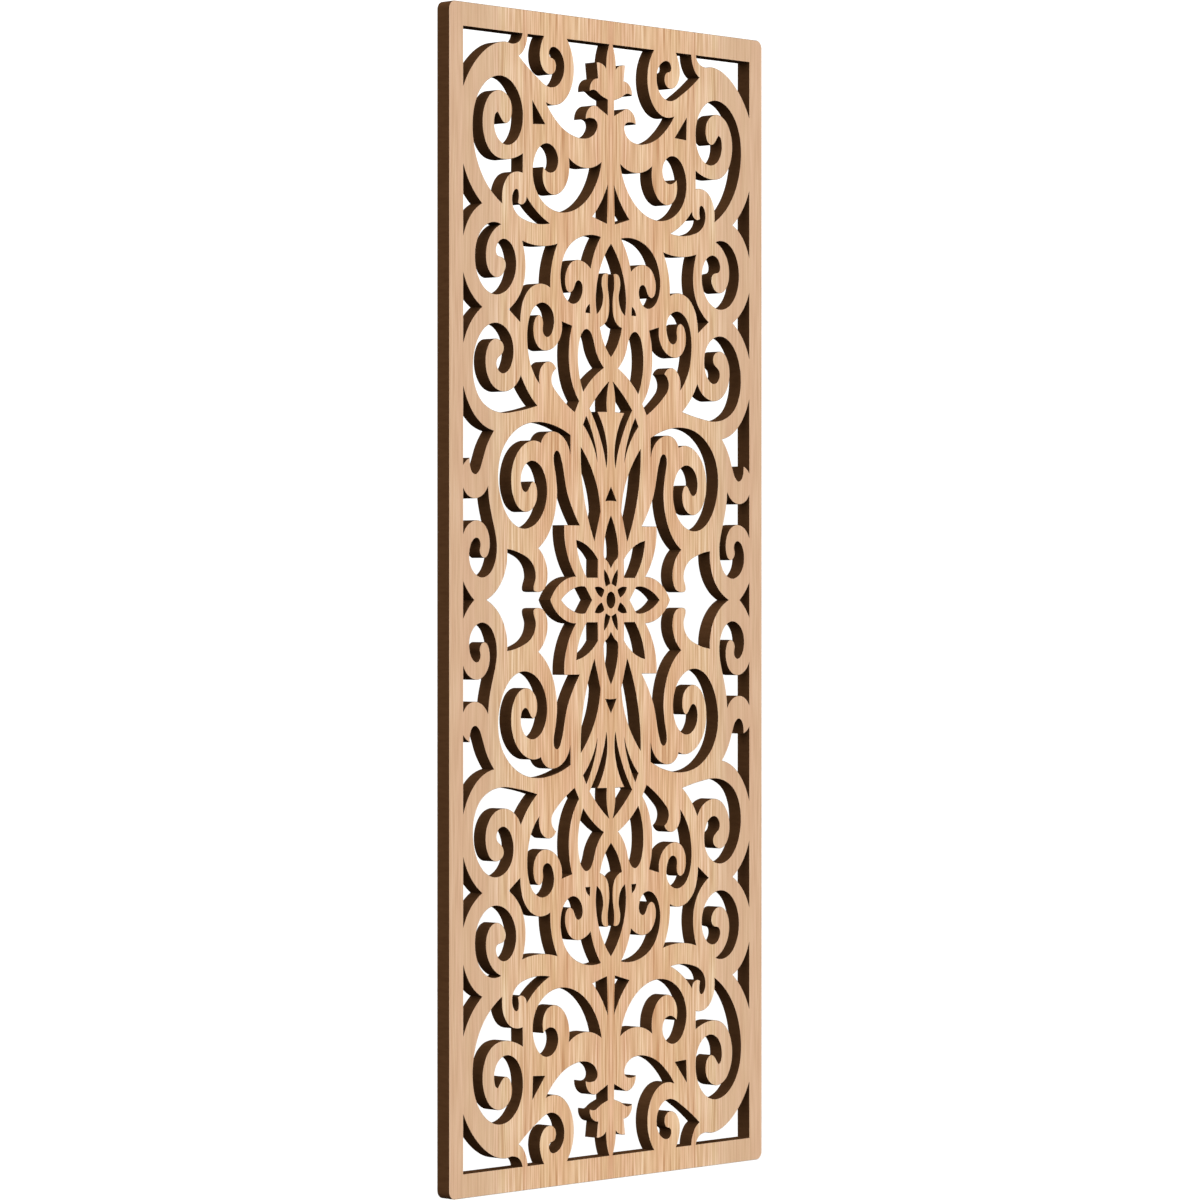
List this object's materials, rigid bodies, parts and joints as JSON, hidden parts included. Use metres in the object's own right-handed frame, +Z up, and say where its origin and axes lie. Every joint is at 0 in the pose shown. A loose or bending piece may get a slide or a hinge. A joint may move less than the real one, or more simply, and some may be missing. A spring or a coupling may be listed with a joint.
{
  "type": "carved fretwork grille",
  "caption": "Tall flat fretwork panel of pierced wood: scrolls and leaves mirrored about a central rosette, inside a plain border.",
  "frame": {"origin": "middle of the back face of the top rail, on the panel's upright centre line", "axes": "+Z up the panel's height, +Y out of the back face towards what it is fixed to, +X across the width; the show face looks along -Y"},
  "size_m": [0.28, 0.01, 0.711],
  "materials": {
    "wood": "bare pale wood, smoothly sanded, with the cut edges charred dark brown"
  },
  "bodies": {
    "root": {"fretwork_board": "wood"}
  },
  "joints": []
}
